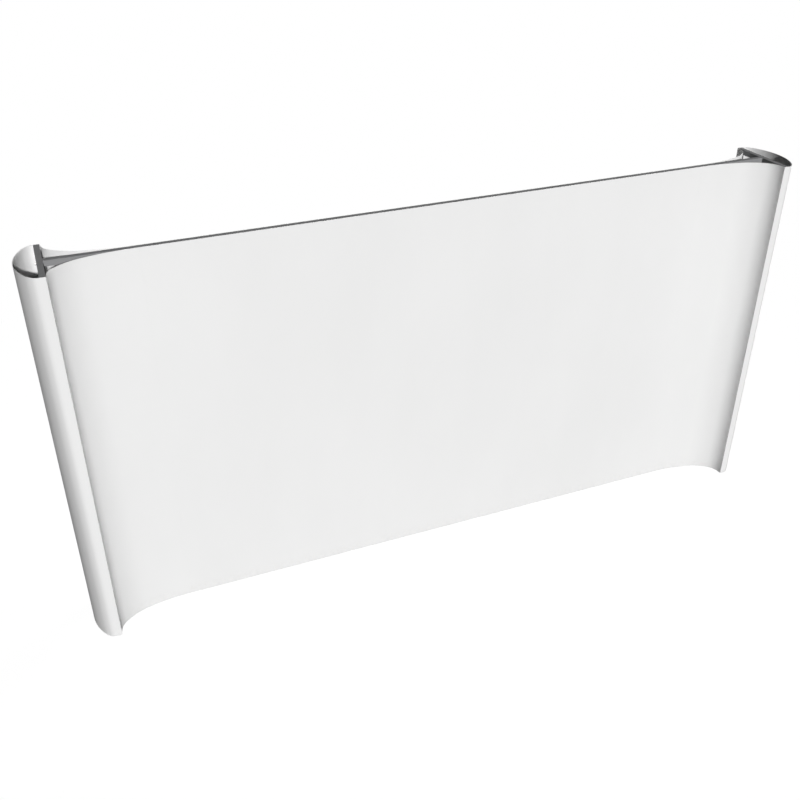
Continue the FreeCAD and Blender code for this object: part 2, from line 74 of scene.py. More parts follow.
# A new material with its plain colour, roughness, metal and strength of sheen
def new_finish(name, colour, roughness, metallic=0.0, sheen=0.5):
    material = bpy.data.materials.new(name)
    material.use_nodes = True
    shader = material.node_tree.nodes["Principled BSDF"]
    shader.inputs["Base Color"].default_value = (*colour, 1)
    shader.inputs["Roughness"].default_value = roughness
    shader.inputs["Metallic"].default_value = metallic
    shader.inputs["Specular IOR Level"].default_value = sheen
    return material, shader


# The place of each point in the model's own frame
def own_place(material):
    return material.node_tree.nodes.new("ShaderNodeTexCoord").outputs["Object"]


# A noise over that place, drawn out along each axis whose stretch is under one
def grain(material, scale, detail=3, stretch=(1, 1, 1)):
    tree = material.node_tree
    mapping = tree.nodes.new("ShaderNodeMapping")
    mapping.inputs["Scale"].default_value = stretch
    noise = tree.nodes.new("ShaderNodeTexNoise")
    noise.inputs["Scale"].default_value = scale
    noise.inputs["Detail"].default_value = detail
    tree.links.new(own_place(material), mapping.inputs["Vector"])
    tree.links.new(mapping.outputs["Vector"], noise.inputs["Vector"])
    return noise.outputs["Fac"]


# A factor stretched from one range to another
def remap(material, factor, source, target):
    node = material.node_tree.nodes.new("ShaderNodeMapRange")
    node.inputs["From Min"].default_value, node.inputs["From Max"].default_value = source
    node.inputs["To Min"].default_value, node.inputs["To Max"].default_value = target
    material.node_tree.links.new(factor, node.inputs["Value"])
    return node.outputs["Result"]


# A colour, or what was mixed before, passing into a second colour by a factor
def mixed(material, factor, first, second):
    node = material.node_tree.nodes.new("ShaderNodeMix")
    node.data_type = "RGBA"
    entries = [item for item in node.inputs if item.type == "RGBA"]
    material.node_tree.links.new(factor, node.inputs[0])
    if isinstance(first, tuple):
        entries[0].default_value = (*first, 1)
    else:
        material.node_tree.links.new(first, entries[0])
    entries[1].default_value = (*second, 1)
    return [item for item in node.outputs if item.type == "RGBA"][0]


# A relief of a height in metres, over what the normal already has
def relief(material, shader, factor, height):
    tree = material.node_tree
    bump = tree.nodes.new("ShaderNodeBump")
    bump.inputs["Distance"].default_value = height
    if shader.inputs["Normal"].is_linked:
        tree.links.new(shader.inputs["Normal"].links[0].from_socket, bump.inputs["Normal"])
    tree.links.new(factor, bump.inputs["Height"])
    tree.links.new(bump.outputs["Normal"], shader.inputs["Normal"])


# Joins a colour and a roughness to the shader
def wire(material, shader, colour, gloss):
    material.node_tree.links.new(colour, shader.inputs["Base Color"])
    material.node_tree.links.new(gloss, shader.inputs["Roughness"])


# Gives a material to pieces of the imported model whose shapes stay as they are
def dress(names, material):
    for name in names:
        nodes[name].data.materials.clear()
        nodes[name].data.materials.append(material)


def powder_coat():
    material, shader = new_finish("grey_powder_coat", COAT_GREY, COAT_ROUGHNESS, sheen=COAT_SHEEN)
    clouds = remap(material, grain(material, COAT_CLOUDS), CLOUD_RANGE, (0, 1))
    colour = mixed(material, clouds, COAT_GREY, COAT_PALE)
    rubs = grain(material, COAT_RUBS, detail=6, stretch=COAT_RUB_STRETCH)
    colour = mixed(material, remap(material, rubs, COAT_RUB_RANGE, COAT_RUB_SHARE), colour, COAT_RUBBED)
    gloss = remap(material, grain(material, COAT_RUBS, detail=5), GLOSS_RANGE, COAT_GLOSS)
    wire(material, shader, colour, gloss)
    relief(material, shader, grain(material, COAT_PEEL, detail=2), COAT_PEEL_HEIGHT)
    return material


coat = powder_coat()
dress([f"{side}_{level}_bar" for side in sides for level in levels], coat)
dress([f"{side}_{face}_post" for side in sides for face in faces], coat)

# Weld beads: where a post stands on a bar, the corner behind it and the two seams beside it hold
# a rippled bead about four millimetres wide, which lies under the same coat as the tubes.
BEAD_RADIUS = 0.0021
BEAD_SINK = 0.0009
BEAD_STEP = 0.0009
BEAD_SWELL = 1.07
BEAD_SEGMENTS = 12
BEAD_END = 0.0015


# Turns a finished mesh into a piece of the object that rides on a body
def new_piece(bm, name, material, body, replaced=(), sharp=20):
    for edge in bm.edges:
        edge.smooth = edge.calc_face_angle(0) < math.radians(sharp)
    for face in bm.faces:
        face.smooth = True
    mesh = bpy.data.meshes.new(name)
    bm.to_mesh(mesh)
    bm.free()
    mesh.materials.append(material)
    piece = bpy.data.objects.new(name, mesh)
    bpy.context.scene.collection.objects.link(piece)
    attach(piece, body)
    if replaced:
        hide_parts(*replaced)
    return piece


# Draws edges out by a step, and returns the edges at the new place
def carry(bm, edges, step):
    out = bmesh.ops.extrude_edge_only(bm, edges=edges)["geom"]
    verts = [item for item in out if isinstance(item, bmesh.types.BMVert)]
    bmesh.ops.translate(bm, vec=step, verts=verts)
    fresh = set(verts)
    return [item for item in out
            if isinstance(item, bmesh.types.BMEdge) and fresh.issuperset(item.verts)]


# A bead from one point to another: a ring drawn along the seam that swells and shrinks
def lay_bead(bm, start, end):
    turn = Vector((0, 0, 1)).rotation_difference(end - start).to_matrix().to_4x4()
    place = Matrix.Translation(start) @ turn
    ring = bmesh.ops.create_circle(bm, segments=BEAD_SEGMENTS, radius=BEAD_RADIUS, matrix=place)
    edges = list({edge for vert in ring["verts"] for edge in vert.link_edges})
    steps = 2 * round((end - start).length / (2 * BEAD_STEP))
    for count in range(steps):
        edges = carry(bm, edges, (end - start) / steps)
        verts = list({vert for edge in edges for vert in edge.verts})
        middle = sum((vert.co for vert in verts), Vector()) / len(verts)
        share = 1 / BEAD_SWELL if count % 2 else BEAD_SWELL
        bmesh.ops.scale(bm, vec=(share, share, share), space=Matrix.Translation(-middle), verts=verts)


beads = bmesh.new()
for side in sides:
    for face, y_sign in faces.items():
        post_low, post_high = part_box(f"{side}_{face}_post")
        inner_y = post_high.y if y_sign < 0 else post_low.y
        outer_y = post_low.y if y_sign < 0 else post_high.y
        for seam_z, away in ((post_high.z, -1), (post_low.z, 1)):
            corner_y = inner_y - y_sign * (BEAD_RADIUS / 2 - BEAD_SINK)
            corner_z = seam_z + away * (BEAD_RADIUS / 2 - BEAD_SINK)
            lay_bead(beads, Vector((post_low.x + BEAD_END, corner_y, corner_z)),
                     Vector((post_high.x - BEAD_END, corner_y, corner_z)))
            for seam_x in (post_low.x + 2 * BEAD_SINK, post_high.x - 2 * BEAD_SINK):
                lay_bead(beads, Vector((seam_x, inner_y + y_sign * BEAD_END, seam_z)),
                         Vector((seam_x, outer_y - y_sign * BEAD_END, seam_z)))
bmesh.ops.holes_fill(beads, edges=beads.edges[:], sides=BEAD_SEGMENTS)
bmesh.ops.recalc_face_normals(beads, faces=beads.faces[:])
new_piece(beads, "weld_beads", coat, "frame", sharp=60)

# Spigots: blocks sawn from square aluminium bar, left as they come from the mill, with the fine
# lines of the drawing die along them. Each is bolted to an end bar and fills a crossbar's end.
MILL_METAL = (0.72, 0.73, 0.74)
MILL_DULL = (0.60, 0.61, 0.63)
MILL_GLOSS = (0.30, 0.46)
DIE_LINES = 900
DIE_STRETCH = (0.02, 1, 1)
DIE_DEPTH = 0.00002
LINE_RANGE = (0.4, 0.7)


def mill_aluminium():
    material, shader = new_finish("mill_aluminium", MILL_METAL, MILL_GLOSS[0], metallic=1.0)
    lines = grain(material, DIE_LINES, detail=4, stretch=DIE_STRETCH)
    colour = mixed(material, remap(material, lines, LINE_RANGE, (0, 1)), MILL_METAL, MILL_DULL)
    wire(material, shader, colour, remap(material, lines, GLOSS_RANGE, MILL_GLOSS))
    relief(material, shader, lines, DIE_DEPTH)
    return material


dress([f"{level}_{side}_spigot" for level in levels for side in sides], mill_aluminium())

# Spigot bolts: four M8 hexagon bolts in bright zinc plate, one through each end bar into the
# spigot on its other side. The plate is cool and slightly cloudy, and faintly yellow in places.
ZINC = (0.62, 0.63, 0.63)
ZINC_YELLOW = (0.64, 0.61, 0.53)
ZINC_GLOSS = (0.26, 0.44)
ZINC_CLOUDS = 160
ZINC_RANGE = (0.45, 0.75)
BOLT_RADIUS = 0.004
BOLT_CORNER = 0.0075
BOLT_HEAD = 0.0053
BOLT_REACH = 0.020
BOLT_CHAMFER = 0.0011
WASHER_RADIUS = 0.0065
WASHER_STEP = 0.0004
ROUND_SEGMENTS = 40
HEXAGON = 6


def zinc_plate():
    material, shader = new_finish("zinc_plate", ZINC, ZINC_GLOSS[0], metallic=1.0)
    clouds = grain(material, ZINC_CLOUDS, detail=4)
    colour = mixed(material, remap(material, clouds, ZINC_RANGE, (0, 1)), ZINC, ZINC_YELLOW)
    wire(material, shader, colour, remap(material, clouds, GLOSS_RANGE, ZINC_GLOSS))
    return material


# A closed bar of any number of sides on its base point, standing along an axis
def upright(bm, base, axis, radius, length, segments):
    turn = Vector((0, 0, 1)).rotation_difference(axis).to_matrix().to_4x4()
    place = Matrix.Translation(base + axis * length / 2) @ turn
    return bmesh.ops.create_cone(bm, cap_ends=True, segments=segments, radius1=radius,
                                 radius2=radius, depth=length, matrix=place)["verts"]


# Cuts the corners of a hexagon at its far end, as the chamfer of a turned head does
def chamfer_corners(bm, verts, base, axis, reach, offset):
    far = [vert for vert in verts if (vert.co - base).dot(axis) > reach]
    bmesh.ops.bevel(bm, geom=far, offset=offset, offset_type="OFFSET", segments=1, profile=0.5,
                    affect="VERTICES", material=-1)


zinc = zinc_plate()
bolts = bmesh.new()
for side, x_sign in sides.items():
    for level in levels:
        bar_low, bar_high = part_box(f"{side}_{level}_bar")
        inner_x, outer_x = sorted((bar_low.x, bar_high.x), key=abs)
        axis_z = (bar_low.z + bar_high.z) / 2
        outwards = Vector((x_sign, 0, 0))
        seat = Vector((outer_x, 0, axis_z))
        upright(bolts, seat, outwards, WASHER_RADIUS, WASHER_STEP, ROUND_SEGMENTS)
        head_base = seat + outwards * WASHER_STEP
        head_height = BOLT_HEAD - WASHER_STEP
        head = upright(bolts, head_base, outwards, BOLT_CORNER, head_height, HEXAGON)
        chamfer_corners(bolts, head, head_base, outwards, head_height / 2, BOLT_CHAMFER)
        tip = Vector((inner_x - x_sign * BOLT_REACH, 0, axis_z))
        upright(bolts, tip, outwards, BOLT_RADIUS, abs(outer_x - tip.x), ROUND_SEGMENTS)
new_piece(bolts, "spigot_bolt_set", zinc, "frame", ["spigot_bolts"])

# Crossbars, centre connectors and mast: the same tube and coat as the end frames. At the head and
# at the foot two crossbars slide over the arms of a connector, and the mast over its stub.
dress([f"{level}_{side}_crossbar" for level in levels for side in sides], coat)
dress([f"{level}_connector" for level in levels], coat)
dress(["mast"], coat)

# Snap buttons: turned steel pins with a round nose, zinc plated, that click through a hole near
# each end of a crossbar and hold it on its spigot. A thumb pushes the nose in to free the bar.
BUTTON_NOSE = 0.004
BUTTON_COLLAR_HEIGHT = 0.005
BUTTON_ROUNDING = 0.0014
NOSE_SEGMENTS = 6
COLLAR_ROUNDING = 0.0004
RIM_SEGMENTS = 3
HARD_ANGLE = 40
LYING_LIMIT = 0.5


# Rounds the rims of turned stock: edges at a hard angle that lie across its axis
def round_rims(bm, verts, axis, offset):
    own = set(verts)
    rims = [edge for edge in bm.edges
            if own.issuperset(edge.verts) and edge.calc_face_angle(0) > math.radians(HARD_ANGLE)
            and abs((edge.verts[1].co - edge.verts[0].co).normalized().dot(axis)) < LYING_LIMIT]
    bmesh.ops.bevel(bm, geom=rims, offset=offset, offset_type="OFFSET", segments=RIM_SEGMENTS,
                    profile=0.5, affect="EDGES", material=-1, clamp_overlap=True)


buttons = [f"{level}_{side}_{end}_button"
           for level in levels for side in sides for end in ("outer", "inner")]
for name in buttons:
    low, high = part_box(name)
    inwards = Vector((0, 0, 1 if name.startswith("top") else -1))
    middle = (low + high) / 2
    length = high.z - low.z
    nose_base = middle - inwards * length / 2
    nose_length = length - BUTTON_COLLAR_HEIGHT
    pin = bmesh.new()
    upright(pin, nose_base, inwards, BUTTON_NOSE, nose_length, ROUND_SEGMENTS)
    tip_rim = [edge for edge in pin.edges
               if all((vert.co - nose_base).dot(inwards) < BUTTON_ROUNDING for vert in edge.verts)]
    bmesh.ops.bevel(pin, geom=tip_rim, offset=BUTTON_ROUNDING, offset_type="OFFSET",
                    segments=NOSE_SEGMENTS, profile=0.5, affect="EDGES", material=-1)
    collar_base = nose_base + inwards * nose_length
    collar_radius = (high.x - low.x) / 2
    collar = upright(pin, collar_base, inwards, collar_radius, BUTTON_COLLAR_HEIGHT, ROUND_SEGMENTS)
    round_rims(pin, collar, inwards, COLLAR_ROUNDING)
    new_piece(pin, f"{name}_pin", zinc, name, [name])

# Button springs: small compression springs of drawn steel wire, wound in five and a half turns.
# Each sits in the blind bore of a spigot between the button's collar and the end of the bore.
SPRING_STEEL = (0.42, 0.42, 0.43)
SPRING_WORN = (0.56, 0.55, 0.53)
SPRING_GLOSS = (0.24, 0.40)
WIRE_LINES = 480
WIRE_STRETCH = (1, 1, 3)
WIRE_RADIUS = 0.00045
WIRE_SEGMENTS = 10
COIL_TURNS = 5.5
STEPS_PER_TURN = 28


def spring_wire():
    material, shader = new_finish("drawn_spring_wire", SPRING_STEEL, SPRING_GLOSS[0], metallic=1.0)
    lines = grain(material, WIRE_LINES, stretch=WIRE_STRETCH)
    colour = mixed(material, remap(material, lines, LINE_RANGE, (0, 1)), SPRING_STEEL, SPRING_WORN)
    wire(material, shader, colour, remap(material, lines, GLOSS_RANGE, SPRING_GLOSS))
    return material


wire_steel = spring_wire()
for name in buttons:
    low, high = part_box(f"{name}_spring")
    centre = (low + high) / 2
    rise = high.z - low.z - 2 * WIRE_RADIUS
    mean_radius = (high.x - low.x) / 2 - WIRE_RADIUS
    steps = round(COIL_TURNS * STEPS_PER_TURN)
    coil = bmesh.new()
    start = Matrix.Translation((centre.x + mean_radius, centre.y, low.z + WIRE_RADIUS))
    turn = Matrix.Rotation(math.radians(90), 4, "X")
    bmesh.ops.create_circle(coil, segments=WIRE_SEGMENTS, radius=WIRE_RADIUS, matrix=start @ turn)
    bmesh.ops.spin(coil, geom=coil.verts[:] + coil.edges[:], cent=(centre.x, centre.y, 0),
                   axis=(0, 0, 1), dvec=(0, 0, rise / steps), angle=math.tau * COIL_TURNS,
                   steps=steps, use_merge=False)
    bmesh.ops.holes_fill(coil, edges=coil.edges[:], sides=WIRE_SEGMENTS)
    bmesh.ops.recalc_face_normals(coil, faces=coil.faces[:])
    piece = new_piece(coil, f"{name}_coil", wire_steel, "frame", [f"{name}_spring"],
                      sharp=60)
    seat = high if name.startswith("top") else low
    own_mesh(piece)

# Threaded inserts: steel bushes pressed into the under face of the lower bars and of the foot
# connector, zinc plated, with a flange below and knurled all round where the bar grips them.
INSERT_RADIUS = 0.006
INSERT_FLANGE = 0.009
FLANGE_HEIGHT = 0.0015
INSERT_BORE = 0.00405
KNURL_COUNT = 36
KNURL_DEPTH = 0.00025
KNURL_START = 0.0025


# A closed ring of turned stock: an outline of radius and height spun about an upright axis
def turn_outline(bm, centre, corners, segments=ROUND_SEGMENTS):
    verts = [bm.verts.new((centre[0] + radius, centre[1], height)) for radius, height in corners]
    edges = [bm.edges.new(pair) for pair in zip(verts, verts[1:] + verts[:1])]
    bmesh.ops.spin(bm, geom=verts + edges, cent=(centre[0], centre[1], 0), axis=(0, 0, 1),
                   angle=math.tau, steps=segments, use_merge=True)


feet = ["front_left", "rear_left", "front_right", "rear_right", "centre"]
foot_centres = {}
for foot in feet:
    low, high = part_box(f"{foot}_foot_pad")
    foot_centres[foot] = (low + high) / 2
insert_low, insert_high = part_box("foot_inserts")
flange_top = insert_low.z + FLANGE_HEIGHT
inserts = bmesh.new()
for foot, centre in foot_centres.items():
    turn_outline(inserts, centre, [
        (INSERT_BORE, insert_low.z),
        (INSERT_FLANGE, insert_low.z),
        (INSERT_FLANGE, flange_top),
        (INSERT_RADIUS, flange_top),
        (INSERT_RADIUS, flange_top + KNURL_START),
        (INSERT_RADIUS, insert_high.z),
        (INSERT_BORE, insert_high.z),
    ], 2 * KNURL_COUNT)
    grooves = []
    for vert in inserts.verts:
        out = (vert.co - centre).to_2d()
        if abs(out.length - INSERT_RADIUS) < KNURL_DEPTH and vert.co.z > flange_top + KNURL_START / 2:
            if round(math.atan2(out.y, out.x) / math.pi * KNURL_COUNT) % 2:
                grooves.append(vert)
    share = 1 - KNURL_DEPTH / INSERT_RADIUS
    bmesh.ops.scale(inserts, vec=(share, share, 1), space=Matrix.Translation(-centre), verts=grooves)
bmesh.ops.recalc_face_normals(inserts, faces=inserts.faces[:])
new_piece(inserts, "foot_insert_set", zinc, "frame", ["foot_inserts"])

# Levelling screws: M8 studs with a rolled thread and a hexagon for the spanner just above the
# pad, zinc plated. Turning the hexagon runs the stud out of its insert and lifts the wall.
THREAD_PITCH = 0.00125
THREAD_MAJOR = 0.0039
THREAD_MINOR = 0.0032
THREAD_STEPS = 24
THREAD_LEAD = 1.02
CREST_SHARE = 0.125
FLANK_SHARE = 0.375
SCREW_HEX_CHAMFER = 0.0009
HAIR = 0.00001


# One thread: a rising profile spun round the stud, merged turn on turn where corners lie within a
# hair, then cut square. It starts a little over a turn too low, so that the cuts miss its corners.
def cut_thread(bm, centre, low_z, high_z):
    start = low_z - THREAD_LEAD * THREAD_PITCH
    heights = (0, FLANK_SHARE, FLANK_SHARE + CREST_SHARE, 2 * FLANK_SHARE + CREST_SHARE, 1)
    radii = (THREAD_MINOR, THREAD_MAJOR, THREAD_MAJOR, THREAD_MINOR, THREAD_MINOR)
    verts = [bm.verts.new((centre.x + radius, centre.y, start + share * THREAD_PITCH))
             for radius, share in zip(radii, heights)]
    edges = [bm.edges.new(pair) for pair in zip(verts, verts[1:])]
    turns = math.ceil((high_z - low_z) / THREAD_PITCH) + 2
    steps = turns * THREAD_STEPS
    bmesh.ops.spin(bm, geom=verts + edges, cent=(centre.x, centre.y, 0), axis=(0, 0, 1),
                   dvec=(0, 0, THREAD_PITCH / THREAD_STEPS), angle=math.tau * turns, steps=steps,
                   use_merge=False)
    bmesh.ops.remove_doubles(bm, verts=bm.verts[:], dist=HAIR)
    for height, clear_outer in ((high_z, True), (low_z, False)):
        bmesh.ops.bisect_plane(bm, geom=bm.verts[:] + bm.edges[:] + bm.faces[:],
                               plane_co=(0, 0, height), plane_no=(0, 0, 1),
                               clear_outer=clear_outer, clear_inner=not clear_outer)
    bmesh.ops.holes_fill(bm, edges=[edge for edge in bm.edges if edge.is_boundary], sides=0)


for foot, centre in foot_centres.items():
    name = f"{foot}_foot_screw"
    low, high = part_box(name)
    _, pad_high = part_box(f"{foot}_foot_pad")
    up = Vector((0, 0, 1))
    screw = bmesh.new()
    cut_thread(screw, centre, insert_low.z, high.z)
    hexagon_base = Vector((centre.x, centre.y, pad_high.z))
    hexagon_height = insert_low.z - pad_high.z
    hexagon = upright(screw, hexagon_base, up, (high.x - low.x) / 2, hexagon_height, HEXAGON)
    chamfer_corners(screw, hexagon, hexagon_base, up, hexagon_height / 2, SCREW_HEX_CHAMFER)
    pivot_base = Vector((centre.x, centre.y, low.z))
    upright(screw, pivot_base, up, THREAD_MAJOR, pad_high.z - low.z, ROUND_SEGMENTS)
    bmesh.ops.recalc_face_normals(screw, faces=screw.faces[:])
    new_piece(screw, f"{foot}_levelling_stud", zinc, name, [name], sharp=35)

# Foot pads: round glides moulded in black nylon, with a flat sole, a rounded rim and a waist
# that rises to the socket in which the screw turns. The mould leaves a fine spark texture.
NYLON = (0.045, 0.045, 0.047)
NYLON_WORN = (0.075, 0.074, 0.073)
NYLON_GLOSS = (0.42, 0.58)
NYLON_SCUFFS = 160
SCUFF_RANGE = (0.5, 0.8)
SPARK_SCALE = 1500
SPARK_HEIGHT = 0.00003
PAD_RIM = 0.003
PAD_NECK = 0.009
PAD_SOCKET = 0.00405
PAD_ROUNDING = 0.0008


def moulded_nylon():
    material, shader = new_finish("moulded_nylon", NYLON, NYLON_GLOSS[0])
    spark = grain(material, SPARK_SCALE, detail=2)
    scuffs = remap(material, grain(material, NYLON_SCUFFS, detail=4), SCUFF_RANGE, (0, 1))
    colour = mixed(material, scuffs, NYLON, NYLON_WORN)
    wire(material, shader, colour, remap(material, spark, GLOSS_RANGE, NYLON_GLOSS))
    relief(material, shader, spark, SPARK_HEIGHT)
    return material


nylon = moulded_nylon()
for foot, centre in foot_centres.items():
    name = f"{foot}_foot_pad"
    low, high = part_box(name)
    screw_low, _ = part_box(f"{foot}_foot_screw")
    pad = bmesh.new()
    turn_outline(pad, centre, [
        (0, 0),
        ((high.x - low.x) / 2, 0),
        ((high.x - low.x) / 2, PAD_RIM),
        (PAD_NECK, high.z),
        (PAD_SOCKET, high.z),
        (PAD_SOCKET, screw_low.z),
        (0, screw_low.z),
    ])
    bmesh.ops.remove_doubles(pad, verts=pad.verts[:], dist=HAIR)
    bmesh.ops.recalc_face_normals(pad, faces=pad.faces[:])
    upper = [vert for vert in pad.verts if vert.co.z > PAD_RIM / 2]
    round_rims(pad, upper, Vector((0, 0, 1)), PAD_ROUNDING)
    new_piece(pad, f"{foot}_glide", nylon, name, [name])

# Bar end plugs: hollow square plugs of black polyethylene, pressed flush into the open ends of
# the end bars. Each is a plate with four thin walls behind it that grip the inside of the tube.
TUBE_WALL = 0.002
PLUG_DEPTH = 0.008
PLUG_WALL = 0.0022
PLUG_PLATE = 0.0025
PLUG_ROUNDING = 0.0006
EASED_SEGMENTS = 2
BACK_FACING = -0.5


# A block between two corners
def block(bm, low, high):
    verts = bmesh.ops.create_cube(bm, size=1)["verts"]
    bmesh.ops.scale(bm, vec=high - low, verts=verts)
    bmesh.ops.translate(bm, vec=(low + high) / 2, verts=verts)
    return verts


plugs = bmesh.new()
for side in sides:
    for level in levels:
        bar_low, bar_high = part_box(f"{side}_{level}_bar")
        for face, y_sign in faces.items():
            outer_y = bar_high.y * y_sign
            inner_y = outer_y - y_sign * PLUG_DEPTH
            low = Vector((bar_low.x + TUBE_WALL, min(outer_y, inner_y), bar_low.z + TUBE_WALL))
            high = Vector((bar_high.x - TUBE_WALL, max(outer_y, inner_y), bar_high.z - TUBE_WALL))
            verts = block(plugs, low, high)
            own = {item for vert in verts for item in vert.link_faces}
            back = [item for item in own if item.normal.y * y_sign < BACK_FACING]
            bmesh.ops.inset_individual(plugs, faces=back, thickness=PLUG_WALL)
            hollow = Vector((0, y_sign * (PLUG_DEPTH - PLUG_PLATE), 0))
            bmesh.ops.translate(plugs, vec=hollow, verts=back[0].verts[:])
            rim = [edge for edge in plugs.edges
                   if all(vert in verts and abs(vert.co.y - outer_y) < HAIR for vert in edge.verts)]
            bmesh.ops.bevel(plugs, geom=rim, offset=PLUG_ROUNDING, offset_type="OFFSET",
                            segments=EASED_SEGMENTS, profile=0.5, affect="EDGES", material=-1)
new_piece(plugs, "bar_end_plug_set", nylon, "frame", ["bar_end_plugs"])

# Magnetic strips: extruded tape of rubber and iron powder, glued to the tubes wherever a panel
# lies against them and upright behind each seam. It is a dull brown black with lines along it.
TAPE_BLACK = (0.050, 0.046, 0.042)
TAPE_GREY = (0.085, 0.080, 0.074)
TAPE_GLOSS = (0.55, 0.75)
TAPE_LINES = 700
TAPE_STRETCH = (0.05, 1, 0.05)
TAPE_RANGE = (0.45, 0.7)
TAPE_DEPTH = 0.00005


def magnetic_tape():
    material, shader = new_finish("magnetic_tape", TAPE_BLACK, TAPE_GLOSS[0])
    lines = grain(material, TAPE_LINES, stretch=TAPE_STRETCH)
    colour = mixed(material, remap(material, lines, TAPE_RANGE, (0, 1)), TAPE_BLACK, TAPE_GREY)
    wire(material, shader, colour, remap(material, lines, GLOSS_RANGE, TAPE_GLOSS))
    relief(material, shader, lines, TAPE_DEPTH)
    return material


dress(["crossbar_strips", "post_strips", "seam_strips"], magnetic_tape())

# Middle panels: one long flat sheet on each side of the wall, one millimetre of white laminate
# under a satin crystal film. The film has a fine sand texture, stands off the frame in very
# shallow waves, is dulled by handling in places, and picks up a little dust along the floor.
FILM_WHITE = (0.885, 0.885, 0.883)
FILM_SHADE = (0.865, 0.865, 0.863)
FILM_DUST = (0.66, 0.645, 0.62)
FILM_ROUGHNESS = 0.76
FILM_GLOSS = (0.7, 0.84)
FILM_SHEEN = 0.08
FILM_CLOUDS = 1.6
FILM_CLOUD_STRETCH = (1, 1, 0.5)
FILM_SAND = 1300
FILM_SAND_HEIGHT = 0.000012
FILM_WAVES = 0.9
FILM_WAVE_STRETCH = (1, 1, 0.4)
FILM_WAVE_HEIGHT = 0.003
FILM_SMEARS = 14
FILM_SMEAR_STRETCH = (1, 1, 0.25)
DUST_HEIGHT = 0.08
DUST_SPECKLES = 45
DUST_RANGE = (0.42, 0.7)
DUST_SHARE = (0, 0.22)
SHEET_THICKNESS = 0.001
SHEET_EDGE = 0.0001
# A sheet reaches this much past its edge at a seam, which leaves a gap of a tenth of a millimetre
SEAM_CLOSING = 0.00015


def satin_film():
    material, shader = new_finish("satin_white_film", FILM_WHITE, FILM_ROUGHNESS, sheen=FILM_SHEEN)
    tree = material.node_tree
    clouds = grain(material, FILM_CLOUDS, detail=4, stretch=FILM_CLOUD_STRETCH)
    colour = mixed(material, remap(material, clouds, CLOUD_RANGE, (0, 1)), FILM_WHITE, FILM_SHADE)
    split = tree.nodes.new("ShaderNodeSeparateXYZ")
    tree.links.new(own_place(material), split.inputs["Vector"])
    near_floor = remap(material, split.outputs["Z"], (0, DUST_HEIGHT), (1, 0))
    speckle = remap(material, grain(material, DUST_SPECKLES, detail=8), DUST_RANGE, DUST_SHARE)
    dust = tree.nodes.new("ShaderNodeMath")
    dust.operation = "MULTIPLY"
    tree.links.new(near_floor, dust.inputs[0])
    tree.links.new(speckle, dust.inputs[1])
    colour = mixed(material, dust.outputs["Value"], colour, FILM_DUST)
    smears = grain(material, FILM_SMEARS, detail=6, stretch=FILM_SMEAR_STRETCH)
    wire(material, shader, colour, remap(material, smears, GLOSS_RANGE, FILM_GLOSS))
    waves = grain(material, FILM_WAVES, detail=1, stretch=FILM_WAVE_STRETCH)
    relief(material, shader, waves, FILM_WAVE_HEIGHT)
    relief(material, shader, grain(material, FILM_SAND, detail=2), FILM_SAND_HEIGHT)
    return material


# Takes the knife edge off the cut rim of a sheet
def ease_rim(bm):
    rim = [edge for edge in bm.edges if edge.calc_face_angle(0) > math.radians(HARD_ANGLE)]
    bmesh.ops.bevel(bm, geom=rim, offset=SHEET_EDGE, offset_type="OFFSET", segments=EASED_SEGMENTS,
                    profile=0.5, affect="EDGES", material=-1)


film = satin_film()
closing = Vector((SEAM_CLOSING, 0, 0))
for face in faces:
    name = f"{face}_middle_panel"
    low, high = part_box(name)
    panel = bmesh.new()
    block(panel, low - closing, high + closing)
    ease_rim(panel)
    new_piece(panel, f"{face}_middle_sheet", film, "frame", [name])

# Bowed panels: the four sheets beyond the seams, of the same laminate. Each starts flat, sweeps
# out in three arcs that turn tighter, and ends in a short land on the inner face of a post.
BEND_REACH = 0.42
WIDE_TURN = 14
MIDDLE_TURN = 26
MIDDLE_SHARE = 0.33
END_LAND = 0.01
ARC_STEP = 1.5


# Radii of three arcs in a row that make a quarter turn over a reach and a depth, the middle one
# a share of the first
def quarter_radii(reach, depth, first_turn, second_turn, share):
    first = math.radians(first_turn)
    last = math.radians(first_turn + second_turn)
    run = math.sin(first) + share * (math.sin(last) - math.sin(first))
    rise = 1 - math.cos(first) + share * (math.cos(first) - math.cos(last))
    last_run = 1 - math.sin(last)
    last_rise = math.cos(last)
    total = run * last_rise - rise * last_run
    wide = (reach * last_rise - depth * last_run) / total
    tight = (depth * run - reach * rise) / total
    return wide, share * wide, tight


# Sweeps upright edges round a centre, in steps small enough to look round
def sweep(bm, edges, centre, turn):
    verts = list({vert for edge in edges for vert in edge.verts})
    steps = math.ceil(abs(turn) / ARC_STEP)
    out = bmesh.ops.spin(bm, geom=verts + edges, cent=centre, axis=(0, 0, 1),
                         angle=math.radians(turn), steps=steps, use_merge=False)
    return [item for item in out["geom_last"] if isinstance(item, bmesh.types.BMEdge)]


# Lays a standing sheet from a place and a heading in degrees. A move is a length straight ahead,
# with no radius, or a turn in degrees round a radius.
def lay_sheet(bm, place, heading, moves, low_z, high_z):
    edges = [bm.edges.new([bm.verts.new((place.x, place.y, z)) for z in (low_z, high_z)])]
    for radius, amount in moves:
        ahead = Matrix.Rotation(math.radians(heading), 3, "Z") @ Vector((1, 0, 0))
        if radius is None:
            edges = carry(bm, edges, ahead * amount)
            place = place + ahead * amount
            continue
        centre = place + Vector((-ahead.y, ahead.x, 0)) * math.copysign(radius, amount)
        edges = sweep(bm, edges, centre, amount)
        place = centre + Matrix.Rotation(math.radians(amount), 3, "Z") @ (place - centre)
        heading += amount


